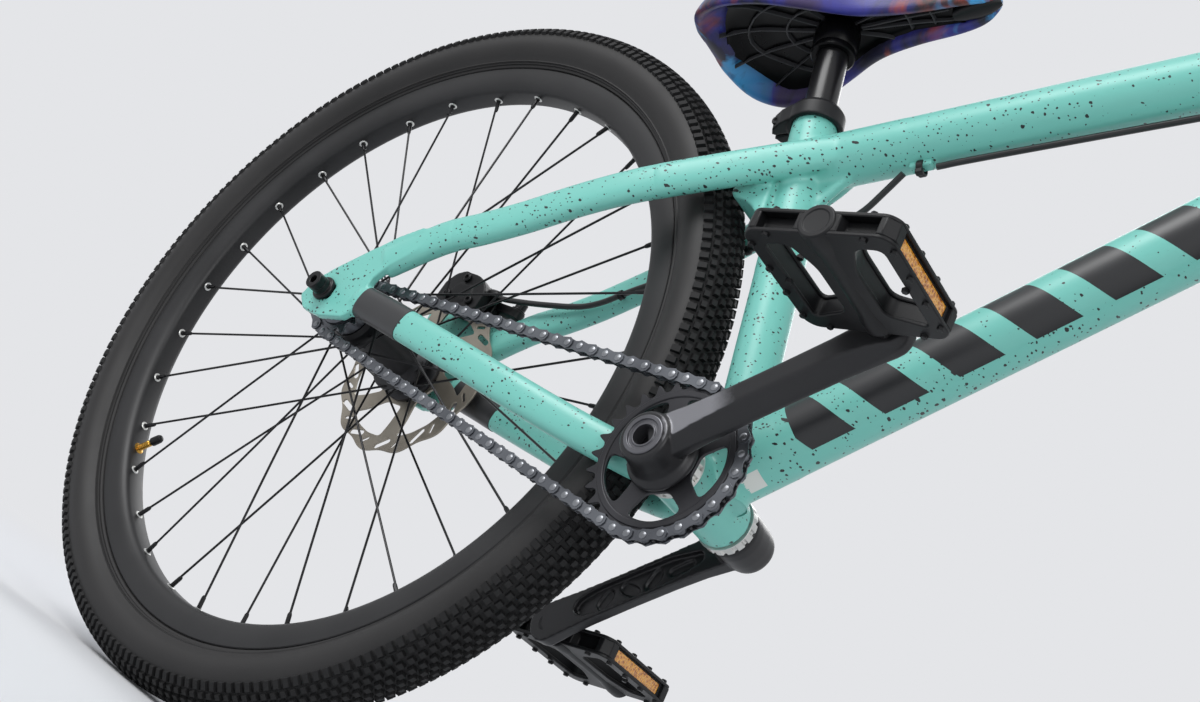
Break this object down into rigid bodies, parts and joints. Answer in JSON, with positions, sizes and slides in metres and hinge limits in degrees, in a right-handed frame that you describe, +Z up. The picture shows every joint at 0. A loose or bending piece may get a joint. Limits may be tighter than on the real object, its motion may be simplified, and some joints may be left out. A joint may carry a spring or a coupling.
{
  "type": "dirt jump bike",
  "caption": "Hardtail dirt jump bike with a low saddle, wide riser bar, sprung fork, single-speed chain drive, rear disc brake and spoked wheels.",
  "frame": {"origin": "on the ground, half way between the two axles, in the bike's centre plane", "axes": "+X forward, +Y to the rider's left, +Z up"},
  "size_m": [1.742, 0.7698, 1],
  "materials": {
    "mint_paint": "matte",
    "black_paint": "satin",
    "black_alloy": "satin",
    "grey_steel": "satin",
    "rotor_steel": "brushed",
    "silver_alloy": "satin",
    "black_plastic": "matte",
    "tyre_rubber": "matte",
    "grip_rubber": "matte",
    "saddle_fabric": "printed"
  },
  "bodies": {
    "frame": {"head_tube": "mint_paint", "down_tube": "mint_paint", "top_tube": "mint_paint", "seat_tube": "mint_paint", "bottom_bracket_shell": "mint_paint", "chainstay_right": "mint_paint", "chainstay_left": "mint_paint", "seatstay_right": "mint_paint", "seatstay_left": "mint_paint", "dropout_right": "mint_paint", "dropout_left": "mint_paint", "seatstay_bridge": "mint_paint", "top_tube_gusset": "mint_paint", "headset_cup_lower": "black_alloy", "headset_cup_upper": "black_alloy", "brake_hose_rear": "black_plastic", "hose_guide": "black_plastic", "brake_caliper": "black_alloy", "seat_clamp": "black_alloy", "rear_axle": "grey_steel", "bottom_bracket_cup_right": "silver_alloy", "bottom_bracket_cup_left": "silver_alloy", "chain": "grey_steel"},
    "seat": {"seat_post": "black_alloy", "saddle_shell": "black_plastic", "saddle_pad": "saddle_fabric"},
    "steering": {"fork_crown_and_stanchions": "black_paint", "headset_spacer": "black_alloy", "stem": "black_alloy", "stem_top_cap": "black_alloy", "handlebar": "black_alloy", "grip_right": "grip_rubber", "grip_left": "grip_rubber", "brake_master": "black_alloy", "brake_hose_front": "black_plastic"},
    "lowers": {"fork_lowers": "black_paint", "front_axle": "grey_steel"},
    "front_wheel": {"front_tyre": "tyre_rubber", "front_rim": "black_alloy", "front_spokes_right": "grey_steel", "front_spokes_left": "grey_steel", "front_hub": "black_alloy"},
    "rear_wheel": {"rear_tyre": "tyre_rubber", "rear_rim": "black_alloy", "rear_spokes_right": "grey_steel", "rear_spokes_left": "grey_steel", "rear_hub": "black_alloy", "rear_rotor": "rotor_steel"},
    "driver": {"rear_sprocket": "grey_steel"},
    "crankset": {"crank_spindle": "grey_steel", "crank_arm_right": "black_alloy", "crank_arm_left": "black_alloy", "chainring": "black_alloy", "pedal_axle_right": "grey_steel", "pedal_axle_left": "grey_steel"},
    "pedal_right_body": {"pedal_right": "black_plastic"},
    "pedal_left_body": {"pedal_left": "black_plastic"},
    "lever": {"brake_lever": "black_alloy"},
    "pad_inner_body": {"brake_pad_inner": "grey_steel"},
    "pad_outer_body": {"brake_pad_outer": "grey_steel"}
  },
  "joints": [
    {"name": "steering_turn", "type": "hinge", "parent": "frame", "child": "steering", "pos_m": [0.32879, 0, 0.76318], "axis": [-0.3584, 0, 0.9336], "range_deg": [-80, 80], "deforming": ["brake_hose_front"]},
    {"name": "fork_compress", "type": "slide", "parent": "steering", "child": "lowers", "axis": [-0.3584, 0, 0.9336], "range_m": [0, 0.1], "stiffness_N_per_m": 9000, "springref_m": -0.02},
    {"name": "front_wheel_spin", "type": "hinge", "parent": "lowers", "child": "front_wheel", "pos_m": [0.536, 0, 0.335], "axis": [0, 1, 0], "continuous": true},
    {"name": "rear_wheel_spin", "type": "hinge", "parent": "frame", "child": "rear_wheel", "pos_m": [-0.536, 0, 0.335], "axis": [0, 1, 0], "continuous": true},
    {"name": "crank_spin", "type": "hinge", "parent": "frame", "child": "crankset", "pos_m": [-0.1532, 0, 0.3216], "axis": [0, 1, 0], "continuous": true, "deforming": ["chain"]},
    {"name": "sprocket_spin", "type": "hinge", "parent": "frame", "child": "driver", "pos_m": [-0.536, 0, 0.335], "axis": [0, 1, 0], "continuous": true},
    {"name": "pedal_right_spin", "type": "hinge", "parent": "crankset", "child": "pedal_right_body", "pos_m": [-0.02607, -0.1502, 0.43447], "axis": [0, 1, 0], "continuous": true},
    {"name": "pedal_left_spin", "type": "hinge", "parent": "crankset", "child": "pedal_left_body", "pos_m": [-0.28033, 0.1502, 0.20873], "axis": [0, 1, 0], "continuous": true},
    {"name": "seat_height", "type": "slide", "parent": "frame", "child": "seat", "axis": [-0.3681, 0, 0.9298], "range_m": [-0.03, 0.03]},
    {"name": "brake_lever_pull", "type": "hinge", "parent": "steering", "child": "lever", "pos_m": [0.29387, -0.23882, 0.98381], "axis": [0.3578, -0.0567, -0.9321], "range_deg": [0, 14], "stiffness_Nm_per_rad": 0.6, "springref_deg": -5.73},
    {"name": "pad_inner_squeeze", "type": "slide", "parent": "frame", "child": "pad_inner_body", "axis": [0, 1, 0], "range_m": [0, 0.0003]},
    {"name": "pad_outer_squeeze", "type": "slide", "parent": "frame", "child": "pad_outer_body", "axis": [0, -1, 0], "range_m": [0, 0.0003]}
  ],
  "couplings": [
    {"joint": "sprocket_spin", "follows": "crank_spin", "ratio": 2.1538},
    {"joint": "pad_inner_squeeze", "follows": "brake_lever_pull", "m_per_rad": 0.0012265},
    {"joint": "pad_outer_squeeze", "follows": "brake_lever_pull", "m_per_rad": 0.0012265}
  ]
}
